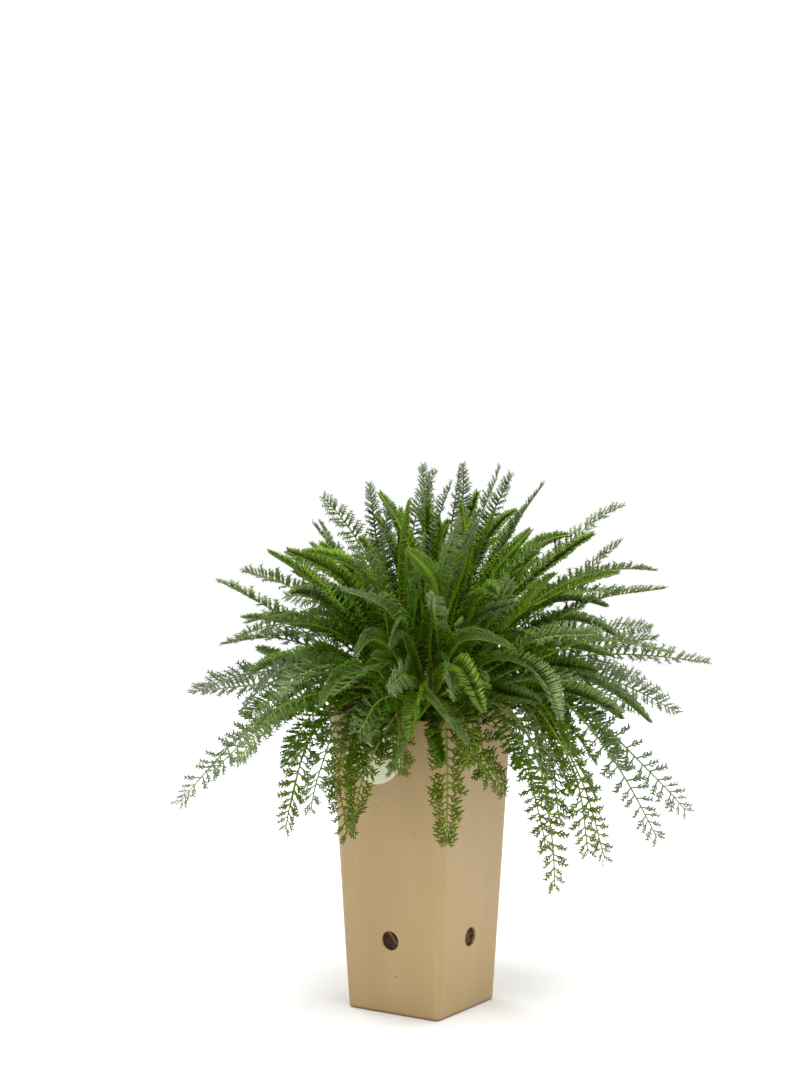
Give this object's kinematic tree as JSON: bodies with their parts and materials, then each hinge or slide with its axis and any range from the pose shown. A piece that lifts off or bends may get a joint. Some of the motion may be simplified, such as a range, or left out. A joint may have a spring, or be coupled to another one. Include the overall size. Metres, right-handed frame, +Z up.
{
  "type": "potted yarrow plant",
  "caption": "Yarrow plant with arching feathery leaves in a tall square nursery pot with a round blank label and drain holes.",
  "frame": {"origin": "centre of the pot's foot, on the surface that it stands on", "axes": "+Z up; X and Y across the pot's flat sides, with the label on the side that faces -Y; the plant's best side faces 57 degrees from +X towards -Y"},
  "size_m": [0.3324, 0.3552, 0.3599],
  "materials": {
    "pot_plastic": "moulded sand-coloured plastic with fine flecks, satin",
    "potting_soil": "dark peat and bark potting mix, crumbly",
    "label_paper": "plain cream paper, uncoated",
    "leaf": "soft hairy fresh leaf, mid to grey green"
  },
  "bodies": {
    "root": {"pot": "pot_plastic", "soil": "potting_soil", "label": "label_paper", "leaves_upright_01": "leaf", "leaves_upright_02": "leaf", "leaves_upright_03": "leaf", "leaves_upright_04": "leaf", "leaves_upright_05": "leaf", "leaves_upright_06": "leaf", "leaves_middle_01": "leaf", "leaves_middle_02": "leaf", "leaves_middle_03": "leaf", "leaves_middle_04": "leaf", "leaves_middle_05": "leaf", "leaves_middle_06": "leaf", "leaves_middle_07": "leaf", "leaves_middle_08": "leaf", "leaves_middle_09": "leaf", "leaves_middle_10": "leaf", "leaves_middle_11": "leaf", "leaves_middle_12": "leaf", "leaves_outer_01": "leaf", "leaves_outer_02": "leaf", "leaves_outer_03": "leaf", "leaves_outer_04": "leaf", "leaves_outer_05": "leaf", "leaves_outer_06": "leaf", "leaves_outer_07": "leaf", "leaves_outer_08": "leaf", "leaves_outer_09": "leaf", "leaves_outer_10": "leaf", "leaves_outer_11": "leaf", "leaves_outer_12": "leaf", "leaves_outer_13": "leaf", "leaves_outer_14": "leaf", "leaves_outer_15": "leaf", "leaves_outer_16": "leaf", "leaves_outer_17": "leaf", "leaves_low_01": "leaf", "leaves_low_02": "leaf", "leaves_low_03": "leaf", "leaves_low_04": "leaf", "leaves_low_05": "leaf", "leaves_low_06": "leaf", "leaves_low_07": "leaf", "leaves_low_08": "leaf", "leaves_low_09": "leaf", "leaves_low_10": "leaf", "leaves_low_11": "leaf", "leaves_low_12": "leaf", "leaves_low_13": "leaf"}
  },
  "joints": []
}
